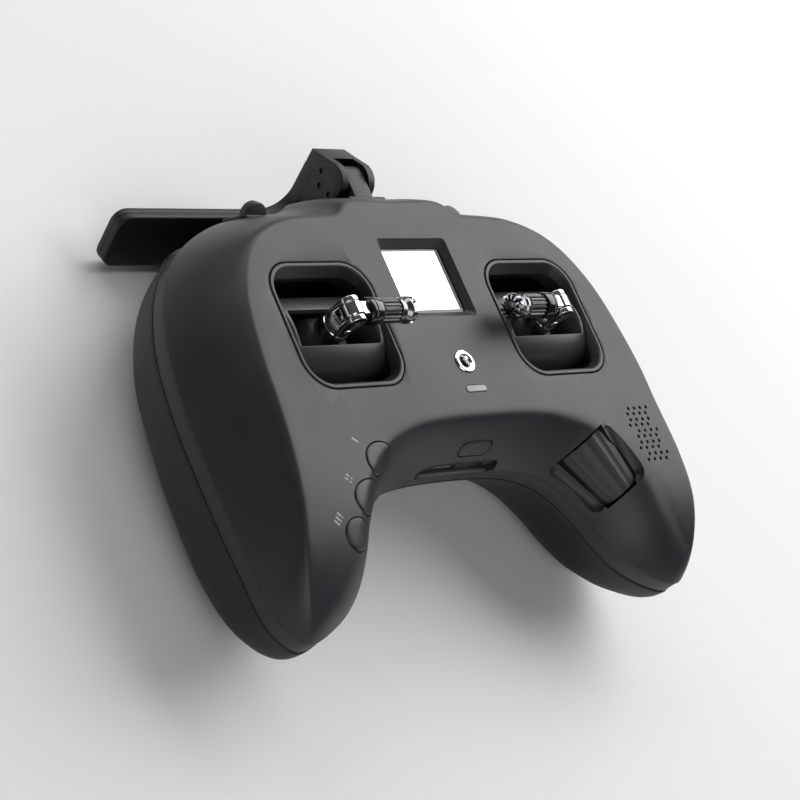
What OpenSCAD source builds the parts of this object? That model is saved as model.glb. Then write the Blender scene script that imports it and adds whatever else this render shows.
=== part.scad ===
// Hand-held radio transmitter: game-pad body, two folding-stick gimbals, folding T antenna.
// Working frame: X to the right, Y towards the antenna, Z out of the face,
// zero in the middle of the face between the gimbals. rest() lifts it onto its back.

/* [Body] */
// Wall thickness of the shells
wall = 2; // [1.6:0.1:2.4]
// Height of the band between the two shells
band_h = 5; // [4:0.5:6]
// Depth of the front shell, face to band
front_h = 18; // [17:0.5:19]
// Depth of the whole case, face to back
case_h = 48; // [47:0.5:49]

/* [Gimbals] */
// Distance of each gimbal from the middle
gimbal_x = 40; // [39.5:0.1:40.5]
// Width of the gimbal opening
opening_w = 35.8; // [35.4:0.1:36.2]
// Height of the gimbal opening
opening_h = 36.5; // [36:0.1:37]
// Radius of the slotted drum
drum_r = 14; // [13.6:0.1:14.2]
// Height of the stick's fold pin above the face
fold_z = 6; // [5.8:0.1:6.4]

/* [Screen] */
// Width of the screen opening
screen_w = 22.6; // [20:0.2:24]
// Height of the screen opening
screen_h = 19.8; // [18:0.2:21]

/* [Antenna] */
// Half length of the T bar
bar_half = 65.4; // [55:0.2:68]
// Width of the T bar
bar_w = 16.2; // [14:0.2:17]
// Thickness of the T bar
bar_t = 4.4; // [4:0.1:4.8]
// Swing of the folded arm away from straight down
arm_tilt = 21; // [20:0.5:22]

/* [Hidden] */
$fn = 48;
rest_y = 6.7;        // moves the middle of the outline to Y = 0
gap = 0.3;           // clearance between bodies that move
fit = 0.05;          // radial clearance of a shaft in its bore
steps = 2;           // samples between two outline points
SPAN = 10;           // outline points from the top middle to the tip of a grip

// Right half of the case outline, from the top middle round the grip to the arch
OUT = [[0,47], [18,47], [27,43.5], [50,40], [69,29], [80,10], [84,-13], [83.5,-37], [81.5,-55],
  [79,-68], [72,-75.5], [61,-72.5], [52,-66.5], [46.5,-59.5], [42.5,-52], [37,-45], [30,-40],
  [22,-37.5], [14,-36.6], [7,-36.3], [0,-36.2]];
// Edge of the flat face, point by point beside the outline
EDGE = [[0,36.7], [17,36.7], [24.5,32.5], [43,31], [57,24.5], [66,11], [70,-8], [71.5,-28],
  [73.5,-44], [75,-57], [73,-68], [66,-63], [61,-57], [58,-52], [54,-46], [48,-39], [40,-33.5],
  [30,-30], [21,-28.6], [10,-28], [0,-28]];
// Middle line of the case and the grip
MID = [[0,3], [10,3], [20,3], [34,2], [46,0], [55,-8], [60,-20], [64,-32], [66,-43], [67,-53], [68,-61]];
// How soft the edge of the face is: 0 a crease, 1 a full round
SOFT = [0, 0, 0, 0, 0, 0, 0, 0, 0, .1, .5, 1, 1, 1, 1, .8, .5, .3, .2, .2, .2];

// ---- surface of the case ----
function spline(P, t) = let (n = len(P), i = min(floor(t), n - 2), u = t - i, b = P[i], c = P[i + 1],
  a = i > 0 ? P[i - 1] : 2 * P[0] - P[1], d = i + 2 < n ? P[i + 2] : 2 * P[n - 1] - P[n - 2])
  0.5 * (2 * b + (c - a) * u + (2 * a - 5 * b + 4 * c - d) * u * u + (3 * b - a - 3 * c + d) * u * u * u);
function linear(P, t) = let (i = min(floor(t), len(P) - 2)) P[i] + (P[i + 1] - P[i]) * (t - i);
function unit(v) = v / norm(v);
function flip(p, s) = [p[0] * s, p[1]];
HALF = 2 * SPAN * steps;
N = 2 * HALF;
function side(k) = k <= HALF ? 1 : -1;
function at(k) = (k <= HALF ? k : N - k) / steps;
A = [for (k = [0 : N - 1]) flip(spline(OUT, at(k)), side(k))];
E = [for (k = [0 : N - 1]) flip(spline(EDGE, at(k)), side(k))];
Q = [for (k = [0 : N - 1]) flip(spline(MID, at(k) <= SPAN ? at(k) : 2 * SPAN - at(k)), side(k))];
S = [for (k = [0 : N - 1]) linear(SOFT, at(k))];
function face_z(y) = -0.06 * max(0, -18 - y) - 8 * pow(max(0, -30 - y) / 36, 3);
function band_z(y) = -front_h - 3 * pow(max(0, -15 - y) / 62, 2);
function back_z(y) = -case_h + 20 * pow(max(0, -38 - y) / 40, 2);
function raise(p, z) = [p[0], p[1], z];
function bezier(a, b, c, u) = (1 - u) * (1 - u) * a + 2 * u * (1 - u) * b + u * u * c;
// Front surface at sample k, share u of the flank, moved in by t
function flank(k, u, t) = let (a = A[k] + t * unit(Q[k] - A[k]), e = E[k] + t * unit(Q[k] - E[k]),
  z0 = band_z(A[k][1]), z1 = face_z(E[k][1]) - t, kx = .38 - .03 * S[k], kz = .58 + .2 * S[k])
  bezier(raise(a, z0), raise(a + kx * (e - a), z0 + kz * (z1 - z0)), raise(e, z1), u);
function face_pt(k, u, t) = let (p = E[k] + (t + u * (norm(Q[k] - E[k]) - t)) * unit(Q[k] - E[k]))
  raise(p, face_z(p[1]) - t);
// How far the arch leans in below the band
function lean(k) = linear([0, 0, .25, .45, .5], max(0, at(k) - SPAN) / 2.5);
function rear_edge(k) = A[k] + unit(Q[k] - A[k]) * min(20, .75 * norm(Q[k] - A[k]));
function hip(k, u, t) = let (r = rear_edge(k), d = unit(Q[k] - A[k]), a = A[k] + t * d, e = r + t * d * .5,
  z0 = band_z(A[k][1]) - band_h, z1 = back_z(r[1]) + t)
  bezier(raise(a, z0), raise(a + (.04 + lean(k)) * (e - a), z0 + .8 * (z1 - z0)), raise(e, z1), u);
function back_pt(k, u, t) = let (r = rear_edge(k), p = r + u * (Q[k] - r)) raise(p, back_z(p[1]) + t);
FLANK = [0, .2, .4, .6, .8, 1];
FACE = [.35, .8];
// Stack of rings, bottom to top, closed at both ends by strips from one side to the other
module skin(rings) {
  J = len(rings);
  function id(j, k) = j * N + (k % N);
  walls = [for (j = [0 : J - 2], k = [0 : N - 1])
    each [[id(j, k), id(j, k + 1), id(j + 1, k + 1)], [id(j, k), id(j + 1, k + 1), id(j + 1, k)]]];
  function strip(j, k, m) = [[id(j, k), id(j, k + 1), id(j, m - 1)], if (m - 1 > k + 1) [id(j, k), id(j,
    m - 1), id(j, m)]];
  function fold(j, k, m) = k + 1 == m - 1 ? [[id(j, k), id(j, k + 1), id(j, m)]] : strip(j, k, m);
  function cap(j) = [for (h = [0, HALF], i = [0 : HALF / 2 - 1]) each fold(j, h + i, h + HALF - i)];
  function turn(f) = [f[2], f[1], f[0]];
  polyhedron([for (r = rings) each r], concat(walls, cap(J - 1), [for (f = cap(0)) turn(f)]));
}
module front_solid(t, drop) skin(concat(
  drop > 0 ? [[for (k = [0 : N - 1]) flank(k, 0, t) - [0, 0, drop]]] : [],
  [for (u = FLANK) [for (k = [0 : N - 1]) flank(k, u, t)]],
  [for (u = FACE) [for (k = [0 : N - 1]) face_pt(k, u, t)]]));
module rear_solid(t, drop) skin(concat(
  [for (u = [.5]) [for (k = [0 : N - 1]) back_pt(k, u, t)]],
  [for (i = [5 : -1 : 0]) [for (k = [0 : N - 1]) hip(k, FLANK[i], t)]],
  drop > 0 ? [[for (k = [0 : N - 1]) hip(k, 0, t) + [0, 0, drop]]] : []));

// ---- helpers ----
module rest() translate([0, rest_y, case_h]) children();
module pair(s) { if (s > 0) children(); else mirror([1, 0, 0]) children(); }
module plate(w, h, r) {
  square([w - 2 * r, h], center = true);
  square([w, h - 2 * r], center = true);
  for (x = [-1, 1], y = [-1, 1]) translate([x * (w / 2 - r), y * (h / 2 - r)]) circle(r);
}
module block(w, h, r, z0, z1) translate([0, 0, z0]) linear_extrude(z1 - z0) plate(w, h, r);
module rod(r, z0, z1) translate([0, 0, z0]) cylinder(r = r, h = z1 - z0);
module along_x() rotate([0, 90, 0]) children();
module along_y() rotate([-90, 0, 0]) children();
// A frame on the surface: tilt leans +Z down towards -Y, yaw turns the lean about Z
module on(p, yaw, tilt) translate(p) rotate([0, 0, yaw]) rotate([tilt, 0, 0]) children();

// ---- places ----
// Keys: place, yaw and tilt of the frame, then the half axes of the oval, its turn and its shift
PAGE = [[-44.1, -36.5, -1.7], 31.5, 25, 5.8, 4.2, -27, [1, -1.3]];
MENU = [[-51.2, -45.6, -3.3], 41, 29, 6.6, 4.4, -38, [.8, -1.6]];
EXIT = [[-56.8, -54.7, -5.4], 33, 29.7, 5.1, 4.1, -45, [.1, -.4]];
POWER = [[1.5, -33.3, -10], 0, 66.9];
TOGGLE = [40, 40.2, -14.5];
TOGGLE_TILT = -66;
toggle_rest = 24;      // angle of each lever at rest
SHOULDER = [54, 37.2, -32];
SPEAKER = [62.2, -37.3];
SCREEN = [-.2, 13.4];   // middle of the glass, a touch off the frame's own middle
EYELET = [0, -12.6];
LIGHT = [0, -20.6];
SCREWS = [[66, 8], [66, -50], [17, -19]];
DOOR = [0, 6];         // middle of the battery door
door_screw_x = 27.6;
PIVOT = [0, 51, -13];
ROLL_AXIS = unit([.4781, -.8776, -.0366]);
ROLL_OUT = unit([-.6804, -.3962, .616]);
ROLL_AT = [43.9, -44.3, -7.5];
roll_sink = 7.5;     // depth of the roller's axis below the surface
roll_len = 18;
roll_big = 9.8;
roll_small = 6.6;
roll_window = [8, 5.3];   // half widths of its window at the thick and the thin end
// finger scoops beside it
SCOOPS = [[[10.2, 8.6, -6.5], [7.6, 6, 6.5]], [[-9.6, 10.6, -6.5], [-7.2, 7.7, 6.5]]];
pin_r = 1.5;
port_c = [-1, -16.9];   // middle of the port recess, X and Z
port_y = -34.5;         // mouth of the sockets

// Roller frame: +Z along the axis from the thick end, +Y out of the surface
module roller_frame() translate(ROLL_AT - ROLL_OUT * roll_sink)
  multmatrix([for (i = [0 : 2]) [cross(ROLL_OUT, ROLL_AXIS)[i], ROLL_OUT[i], ROLL_AXIS[i], 0]]) children();
module screw_places() for (p = SCREWS, s = [-1, 1]) translate([p[0] * s, p[1], 0]) children();
module toggle_frame(s) translate([s * TOGGLE[0], TOGGLE[1], TOGGLE[2]])
  rotate([TOGGLE_TILT, 0, 0]) children();
module shoulder_frame(s) pair(s) translate(SHOULDER) rotate([0, 0, -18]) rotate([-104, 0, 0]) children();
module arm_frame() translate([0, 62, -13.4]) rotate([arm_tilt - 132, 0, 0]) children();

// ---- shells ----
module speaker_holes() translate([SPEAKER[0], SPEAKER[1], -12])
  for (row = [-2 : 2], col = [-2 : 1])
    translate([col * 2.6 + row * -0.5 + (row % 2 == 0 ? 1.3 : 0), row * 3.4, 0])
    for (d = [-1, 1]) translate([d * .55, d * .8, 0]) cylinder(r = .55, h = 14, $fn = 16);
module screen_cut() {
  translate([0, 13.1, 0]) block(screen_w, screen_h, 1, -6, 1);
  translate([0, 13.1, 0]) hull() {
    block(screen_w, screen_h, 1, -1.8, -1.7);
    block(screen_w + 3.4, screen_h + 4, 1.5, .05, .1);
  }
}
module port_cut(g) translate([port_c[0], -34, port_c[1]]) along_y()
  translate([0, 0, -6]) linear_extrude(8) plate(31 + 2 * g, 5.2 + 2 * g, 2.4);
module key_oval(b, g) translate(b[6]) rotate(b[5]) scale([b[3] + g, b[4] + g]) circle(1);
module button_hole(b) on(b[0], b[1], b[2]) translate([0, 0, -7]) linear_extrude(10) key_oval(b, gap);
module front_shell() color("#4a4a4f") rest() difference() {
  union() {
    difference() { front_solid(0, 0); front_solid(wall, 2); }
    intersection() {
      front_solid(.6, 0);
      screw_places() rod(3.2, -front_h - 4, -2);
    }
  }
  screw_places() rod(pin_r + fit, -30, -6);
  for (s = [-1, 1]) translate([s * gimbal_x, 0, 0]) block(opening_w, opening_h, 8.7, -10, 2);
  screen_cut();
  translate([EYELET[0], EYELET[1], 0]) rod(3, -6, 2);
  translate([LIGHT[0], LIGHT[1], 0]) block(8, 2.2, 1, -6, 2);
  for (b = [PAGE, MENU, EXIT]) button_hole(b);
  on(POWER[0], POWER[1], POWER[2]) translate([0, 0, -5]) linear_extrude(8) plate(12.6, 5.4, 2.5);
  speaker_holes();
  port_cut(0);
  roller_frame() roller_window();
  toggle_holes();
  translate([-7.4, 36, -17]) cube([14.8, 10, 9.6]);
  hinge_recess();
}
module hinge_recess() translate(PIVOT) along_x() rod(7.7, -7, 7);
module toggle_holes() for (s = [-1, 1]) toggle_frame(s) block(11.6, 10, 2, -9, 3);
module roller_window() {
  rotate([-90, 0, 0]) translate([0, 0, 1]) linear_extrude(11) polygon([for (e = [-1, 1], x = [-e, e])
    [x * roll_window[e > 0 ? 0 : 1], e * (roll_len / 2 + .7)]]);
  translate([0, 0, -roll_len / 2 - .7]) cylinder(r1 = roll_big + gap, r2 = roll_small + gap,
    h = roll_len + 1.4);
  for (c = SCOOPS) hull() for (p = c) translate(p) sphere(3.4, $fn = 24);
}
module mid_band() color("#3c3c40") rest() difference() {
  band_ring();
  port_cut(0);
  hinge_recess();
  toggle_holes();
}
module band_ring() {
  inset = .3;
  function edge(k, t, z) = let (p = A[k] + t * unit(Q[k] - A[k])) raise(p, band_z(p[1]) + z);
  rings = [[inset, .1 - band_h], [inset, -.1], [wall, -.1], [wall, .1 - band_h]];
  function id(j, k) = (j % 4) * N + (k % N);
  polyhedron([for (r = rings, k = [0 : N - 1]) edge(k, r[0], r[1])],
    [for (j = [0 : 3], k = [0 : N - 1])
      each [[id(j, k), id(j, k + 1), id(j + 1, k + 1)], [id(j, k), id(j + 1, k + 1), id(j + 1, k)]]]);
}
module rear_shell() color("#2e2e31") rest() difference() {
  union() {
    difference() { rear_solid(0, 0); rear_solid(wall, 2); }
    intersection() {
      rear_solid(.6, 0);
      screw_places() rod(4.4, -case_h, -front_h - band_h - 2.5);
    }
  }
  screw_places() { rod(pin_r + .2, -60, -10); rod(3.1, -60, -41); }
  translate(DOOR) {
    block(60.4, 38.4, 4, -case_h - 1, -case_h + 1.6);
    block(50, 32, 3, -case_h - 1, -case_h + 4);
    for (s = [-1, 1]) translate([s * door_screw_x, 0, 0]) rod(1.1, -case_h - 1, -case_h + 4);
  }
  for (s = [-1, 1]) shoulder_frame(s) rod(5.3, -9, 6);
}
module case_screws() color("#8d8f92") rest() screw_places() difference() {
  union() { rod(pin_r, -41.2, -8); rod(2.8, -43.2, -41.05); }
  translate([0, 0, -43.3]) linear_extrude(1.3) circle(1.3, $fn = 6);
}

// ---- rear door and the insides ----
module rear_door() color("#2b2b2e") rest() translate(DOOR) difference() {
  block(60, 38, 3.8, -case_h, -case_h + 1.5);
  for (s = [-1, 1]) translate([s * door_screw_x, 0, 0]) {
    rod(1.15, -case_h - 1, -case_h + 2);
    rod(2, -case_h - 1, -case_h + .8);
  }
  for (i = [-3 : 3]) translate([i * 4, -13, -case_h - 1]) linear_extrude(1.5) plate(1.6, 7, .7);
}
module door_screws() color("#8d8f92") rest() translate(DOOR) for (s = [-1, 1])
  translate([s * door_screw_x, 0, 0]) difference() {
  union() { rod(1.05, -case_h + .7, -case_h + 3.6); rod(1.8, -case_h + .1, -case_h + .78); }
  translate([0, 0, -case_h - .1]) linear_extrude(.6) circle(.8, $fn = 6);
}
module battery_pack() color("#3a5f9e") rest() translate(DOOR) block(49, 30, 3, -case_h + 2.4, -38);
module main_board() color("#1f6b3a") rest() difference() {
  translate([0, 4, 0]) block(118, 52, 3, -36.6, -35);
  for (s = [-1, 1]) translate([s * 17, -19, 0]) rod(5, -40, -30);
}
module rf_module() color("#b9bbbe") rest() translate([0, 4, 0]) block(32, 34, 1.5, -34.95, -31.5);

// ---- screen, eyelet, light ----
module display_bezel() color("#0c0c0d") rest() difference() {
  translate([0, 13.1, 0]) block(screen_w + 8, screen_h + 8, 2, -2.6, -2.05);
  translate(SCREEN) block(screen_w - 1.3, screen_h - 1.5, .4, -4, -1);
}
module display_lens() color("#dfe6ea") rest()
  translate([0, 13.1, 0]) block(screen_w + 7, screen_h + 7, 1, -3.1, -2.65);
module display_panel() color("#f4f6f7") rest()
  translate([0, 13.1, 0]) block(screen_w + 8, screen_h + 8, 1, -5.5, -3.15);
module strap_eyelet() color("#d5d6d8") rest() translate([EYELET[0], EYELET[1], 0]) difference() {
  union() { rod(2.95, -5.4, .05); rod(3.4, .02, .5); }
  rod(1.6, -6, 1);
}
module status_light() color("#d8d9db") rest()
  translate([LIGHT[0], LIGHT[1], 0]) block(7.6, 1.8, .85, -3.2, .1);

// ---- buttons ----
module flush_cap(b, deep) intersection() {
  front_solid(-.25, 0);
  on(b[0], b[1], b[2]) translate([0, 0, -deep]) linear_extrude(deep + 3) children();
}
module key(b) {
  flush_cap(b, 5) key_oval(b, 0);
  on(b[0], b[1], b[2]) rod(1.6, -6, -4.5);
}
module button_page() color("#3b3b40") rest() key(PAGE);
module button_menu() color("#3b3b40") rest() key(MENU);
module button_exit() color("#3b3b40") rest() key(EXIT);
module power_button() color("#3b3b40") rest() flush_cap(POWER, 2.6) plate(12, 4.8, 2.2);
module button_board() color("#1f6b3a") rest() on(MENU[0], 50, 30)
  translate([-1, 0, -9.4]) linear_extrude(1.2) plate(19, 6, 2);

// ---- ports in the arch ----
module port_panel() color("#232326") rest() difference() {
  translate([port_c[0], port_y + 1.4, port_c[1]]) along_y() translate([0, 0, -1.7])
    linear_extrude(3.6) plate(30.4, 4.6, 2.1);
  translate([port_c[0] - 5, -40, port_c[1]]) along_y() linear_extrude(20) plate(9.6, 3.6, 1.7);
  translate([port_c[0] + 8, -40, port_c[1]]) along_y() rod(2.15, 0, 20);
}
module usb_socket() color("#b9bbbe") rest()
  translate([port_c[0] - 5, port_y, port_c[1]]) along_y() difference() {
  linear_extrude(7.4) plate(9.2, 3.2, 1.55);
  translate([0, 0, -1]) linear_extrude(7)
    difference() { plate(8.5, 2.5, 1.2); square([6.4, .8], center = true); }
}
module audio_jack() color("#b9bbbe") rest()
  translate([port_c[0] + 8, port_y, port_c[1]]) along_y() difference() {
  rod(2.1, 0, 9);
  rod(1.75, -1, 8);
}

// ---- speaker and roller ----
module speaker_driver() color("#55565a") rest() translate([SPEAKER[0] + 1.3, SPEAKER[1] + .3, 0]) {
  rod(5, -10, -7);
  rod(3, -12, -9.95);
}
module roller() color("#303034") rest() roller_frame() difference() {
  translate([0, 0, -roll_len / 2]) cylinder(r1 = roll_big, r2 = roll_small, h = roll_len);
  rod(1.2 + fit, -20, 20);
  for (i = [0 : 13]) rotate([0, 0, i * 360 / 14]) translate([0, (roll_big + roll_small) / 2 + .35, 0])
    rotate([atan((roll_big - roll_small) / roll_len), 0, 0]) cylinder(r = .7, h = 2 * roll_len,
      center = true, $fn = 16);
}
module roller_shaft() color("#c9cacc") rest() roller_frame() rod(1.2, -roll_len / 2 - 2.4,
  roll_len / 2 + 2.4);
module roller_bracket() color("#3a3a3e") rest() roller_frame() for (s = [-1, 1]) difference() {
  translate([0, 0, s * (roll_len / 2 + 1.5)]) linear_extrude(1.6, center = true) {
    circle(2.6);
    translate([-2.6, -9]) square([5.2, 9]);
  }
  rod(1.2, -20, 20);
}

// ---- gimbals ----
module gimbal_at(s) translate([s * gimbal_x, 0, 0]) children();
drum_z = -drum_r - .5;
drum_half = 15.5;
module gimbal_bezel(s) color("#58585d") rest() gimbal_at(s) difference() {
  block(opening_w - .6, opening_h - .6, 8.4, -8, .1);
  hull() {
    block(33.6, 34.2, 7.6, .05, 1);
    block(31.8, 30.4, 6, -3.1, -3);
  }
  block(33.4, 34, 6.5, -9, -3.05);
}
module gimbal_housing(s) color("#28282b") rest() gimbal_at(s) difference() {
  block(38, 38, 3, -33, -8.1);
  block(33.2, 34, 2, -31.4, -7);
  translate([0, 0, drum_z]) along_x() rod(2 + fit, -30, 30);
}
module gimbal_drum(s) color("#4c4c51") rest() gimbal_at(s) translate([0, 0, drum_z]) difference() {
  union() {
    along_x() rod(drum_r, -drum_half, drum_half);
    along_x() rod(2, -18.7, 18.7);
  }
  along_x() rod(drum_r - 1.8, -drum_half + 1.3, drum_half - 1.3);
  translate([-14.2, -5.15, 0]) cube([28.4, 10.3, 20]);
  translate([-20, -20, -30]) cube([40, 40, 22]);
  along_y() rod(1.4 + fit, -20, 20);
}
module stick_carrier(s) color("#1e1e20") rest() gimbal_at(s) translate([0, 0, drum_z]) {
  intersection() {
    along_y() rod(11, -4.6, 4.6);
    translate([-12, -6, -6]) cube([24, 12, 16]);
  }
  along_y() rod(1.4, -13.2, 13.2);
}

// ---- folding sticks, drawn along +Z and then folded towards the screen ----
module stick_up(s) translate([s * gimbal_x, 0, 0]) children();
module stick_folded(s) translate([s * gimbal_x, 0, fold_z]) rotate([0, -s * 90, 0]) children();
module stick_cup(s) color("#d9dadc") rest() stick_up(s) difference() {
  union() {
    rod(4.1, drum_z + 10, -.6);
    translate([0, 0, -.65]) cylinder(r1 = 4.1, r2 = 3.6, h = 3);
    for (e = [-1, 1]) translate([0, e * 2.75, 0]) {
      translate([-2.7, -.7, 2]) cube([5.4, 1.4, fold_z - 2]);
      translate([0, 0, fold_z]) along_y() rod(2.7, -.7, .7);
    }
  }
  translate([0, 0, fold_z]) along_y() rod(.8, -5, 5);
  translate([-5, -2.05, fold_z - 3.3]) cube([10, 4.1, 8]);
}
module fold_pin(s) color("#b9bbbe") rest() stick_up(s)
  translate([0, 0, fold_z]) along_y() rod(.8, -3.4, 3.4);
module stick_knuckle(s) color("#d9dadc") rest() stick_folded(s) difference() {
  union() {
    along_y() rod(2.9, -1.9, 1.9);
    translate([-2.4, -1.9, 0]) cube([4.8, 3.8, 4]);
    rod(1.5, 3.9, 10.5);
  }
  along_y() rod(.8 + fit, -5, 5);
}
module stick_collar(s) color("#1b1b1d") rest() stick_folded(s) difference() {
  rod(3.6, 4.3, 8.2);
  rod(1.5 + fit, 0, 20);
}
module stick_barrel(s) color("#6c6d70") rest() stick_folded(s) difference() {
  rod(3.3, 8.6, 15);
  rod(1.5, 0, 10.55);
  rod(1.2 + fit, 10.5, 20);
  for (i = [0 : 15]) rotate([0, 0, i * 22.5]) translate([3.5, 0, 8]) cylinder(r = .45, h = 8, $fn = 16);
}
module stick_crown(s) color("#c4c5c8") rest() stick_folded(s) difference() {
  union() {
    rod(1.2, 10.8, 16);
    translate([0, 0, 15.3]) cylinder(r1 = 3.1, r2 = 3.6, h = 3.4);
    rod(3.6, 18.65, 20.6);
  }
  rod(1.4, 18.8, 22);
  for (i = [0 : 5]) rotate([0, 0, i * 30]) translate([-5, -.45, 18.9]) cube([10, .9, 3]);
}

// ---- shoulder switches ----
module toggle_bush(s) color("#232326") rest() toggle_frame(s) difference() {
  block(11, 9.4, 1.8, -8, .3);
  translate([0, 0, -7]) linear_extrude(12) square([8.8, 7.8], center = true);
  translate([0, 0, -4.4]) along_x() rod(.8 + fit, -8, 8);
}
module toggle_lever(s) color("#3b3b40") rest() toggle_frame(s) translate([0, 0, -4.4])
  rotate([-s * toggle_rest, 0, 0]) {
    translate([-3.9, -1.3, 0]) cube([7.8, 2.6, 5.2]);
    translate([0, 0, 5.2]) along_y() rod(3.9, -1.3, 1.3);
    along_x() rod(1.6, -3.9, 3.9);
    along_x() rod(.8, -5.3, 5.3);
  }
module shoulder_button(s) color("#3b3b40") rest() shoulder_frame(s) {
  rod(4.9, -3, 1);
  rod(3.4, -6.5, -2.95);
}

// ---- antenna ----
module antenna_base() color("#4a4a4f") rest() difference() {
  union() {
    translate([-7.2, 38, -16.8]) cube([14.4, 5.1, 9.2]);
    translate([-3.5, 43, -17]) cube([7, 8, 8.4]);
    translate(PIVOT) along_x() rod(4.4, -3.5, 3.5);
  }
  translate(PIVOT) along_x() rod(1.5, -5, 5);
}
module antenna_pin() color("#b9bbbe") rest() translate(PIVOT) along_x() rod(1.5, -5.4, 5.4);
module cheek_outline() difference() {
  union() {
    polygon([[62, -13.4], [58.4, -11.2], [52.6, -7.5], [46, -14], [47.5, -19], [52.5, -27], [56.2,
      -27.5]]);
    translate([PIVOT[1], PIVOT[2]]) circle(5.6);
  }
}
module antenna_arm() color("#4a4a4f") rest() difference() {
  union() {
    rotate([90, 0, 90]) translate([0, 0, -6.4]) linear_extrude(12.8) cheek_outline();
    arm_frame() translate([0, 0, -bar_t]) linear_extrude(bar_t) polygon(concat(
      [[-6.4, 4], [6.4, 4]],
      [for (a = [180 : -15 : 90]) [14.4 + 8 * cos(a), 12.3 + 8 * sin(a)]],
      [for (a = [90 : -15 : 0]) [-14.4 + 8 * cos(a), 12.3 + 8 * sin(a)]]));
  }
  translate([-3.9, 30, -22]) cube([7.8, 26.8, 30]);
  translate([-3.9, 44, -22]) cube([7.8, 14.6, 9]);
  translate(PIVOT) along_x() rod(1.5 + fit, -5.6, 5.6);
  for (p = [[54.8, -13.4], [51.9, -16.2], [47.8, -14.6]], s = [-1, 1])
    translate([s * 6.4, p[0], p[1]]) cube([1, 1.5, 1.5], center = true);
}
module bar_half_shell(n0, n1) arm_frame() translate([0, 20.4 + bar_w / 2, n0]) difference() {
  linear_extrude(n1 - n0) plate(2 * bar_half, bar_w, 4);
  translate([0, 0, n0 < -bar_t / 2 - .1 ? n1 - n0 - 1 : -.1])
    linear_extrude(1.1) plate(2 * bar_half - 4, bar_w - 5, 2);
}
module antenna_half_front() color("#3a3a3e") rest() bar_half_shell(-bar_t, -bar_t / 2 - .05);
module antenna_half_rear() color("#4a4a4f") rest() bar_half_shell(-bar_t / 2, 0);
module antenna_element() color("#b87333") rest() arm_frame()
  translate([0, 20.4 + bar_w / 2, -bar_t / 2 - .4]) linear_extrude(.8) plate(2 * bar_half - 8, 5, 1);

front_shell();
mid_band();
rear_shell();
case_screws();
rear_door();
door_screws();
battery_pack();
main_board();
rf_module();
display_bezel();
display_lens();
display_panel();
strap_eyelet();
status_light();
power_button();
port_panel();
usb_socket();
audio_jack();
button_page();
button_menu();
button_exit();
button_board();
speaker_driver();
roller();
roller_shaft();
roller_bracket();
gimbal_bezel(-1);  // gimbal_bezel_left
gimbal_bezel(1);  // gimbal_bezel_right
gimbal_housing(-1);  // gimbal_housing_left
gimbal_housing(1);  // gimbal_housing_right
gimbal_drum(-1);  // gimbal_drum_left
gimbal_drum(1);  // gimbal_drum_right
stick_carrier(-1);  // stick_carrier_left
stick_carrier(1);  // stick_carrier_right
stick_cup(-1);  // stick_cup_left
stick_cup(1);  // stick_cup_right
stick_knuckle(-1);  // stick_knuckle_left
stick_knuckle(1);  // stick_knuckle_right
stick_collar(-1);  // stick_collar_left
stick_collar(1);  // stick_collar_right
stick_barrel(-1);  // stick_barrel_left
stick_barrel(1);  // stick_barrel_right
stick_crown(-1);  // stick_crown_left
stick_crown(1);  // stick_crown_right
fold_pin(-1);  // fold_pin_left
fold_pin(1);  // fold_pin_right
toggle_bush(-1);  // toggle_bush_left
toggle_bush(1);  // toggle_bush_right
toggle_lever(-1);  // toggle_lever_left
toggle_lever(1);  // toggle_lever_right
shoulder_button(-1);  // shoulder_button_left
shoulder_button(1);  // shoulder_button_right
antenna_base();
antenna_pin();
antenna_arm();
antenna_half_front();
antenna_half_rear();
antenna_element();
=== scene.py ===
"""Looks for the radio transmitter controller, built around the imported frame.

Shapes are written in a working frame in millimetres: X right, Y towards the antenna, Z out of the face,
zero in the middle of the face. solid() carries them into the row frame in metres.
"""
import math

import bpy
import numpy as np
from mathutils import Matrix, Vector
from mathutils.bvhtree import BVHTree


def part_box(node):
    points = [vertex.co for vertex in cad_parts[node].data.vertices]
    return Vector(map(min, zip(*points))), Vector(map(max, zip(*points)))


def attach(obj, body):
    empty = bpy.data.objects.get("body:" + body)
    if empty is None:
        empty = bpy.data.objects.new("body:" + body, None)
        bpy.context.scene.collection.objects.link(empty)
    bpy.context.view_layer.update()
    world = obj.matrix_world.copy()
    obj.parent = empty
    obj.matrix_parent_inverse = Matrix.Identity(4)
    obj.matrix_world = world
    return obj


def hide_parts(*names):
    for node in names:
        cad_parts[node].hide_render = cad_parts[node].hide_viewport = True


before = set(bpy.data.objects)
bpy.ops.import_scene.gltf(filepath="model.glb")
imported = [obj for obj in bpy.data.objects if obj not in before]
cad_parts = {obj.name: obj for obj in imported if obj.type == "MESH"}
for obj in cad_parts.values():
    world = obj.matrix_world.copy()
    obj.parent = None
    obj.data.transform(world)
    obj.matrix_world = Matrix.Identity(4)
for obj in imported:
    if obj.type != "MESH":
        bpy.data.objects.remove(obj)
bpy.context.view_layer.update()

MM = 0.001
SIDES = (("left", -1), ("right", 1))
_low, _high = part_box("gimbal_bezel_left")
REST_Y = (_low.y + _high.y) / 2 / MM
REST_Z = _high.z / MM - 0.1

# ---------------------------------------------------------------- transforms


def shift(x, y, z):
    m = np.eye(4)
    m[:3, 3] = (x, y, z)
    return m


def turn(axis, degrees):
    return np.array(Matrix.Rotation(math.radians(degrees), 4, axis))


def on(place, yaw, tilt):
    """A frame on the surface: tilt leans +Z down towards -Y, yaw turns the lean about Z."""
    return shift(*place) @ turn("Z", yaw) @ turn("X", tilt)


def mirrored(s):
    return np.diag([float(s), 1, 1, 1])


# ---------------------------------------------------------------- meshes


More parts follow.
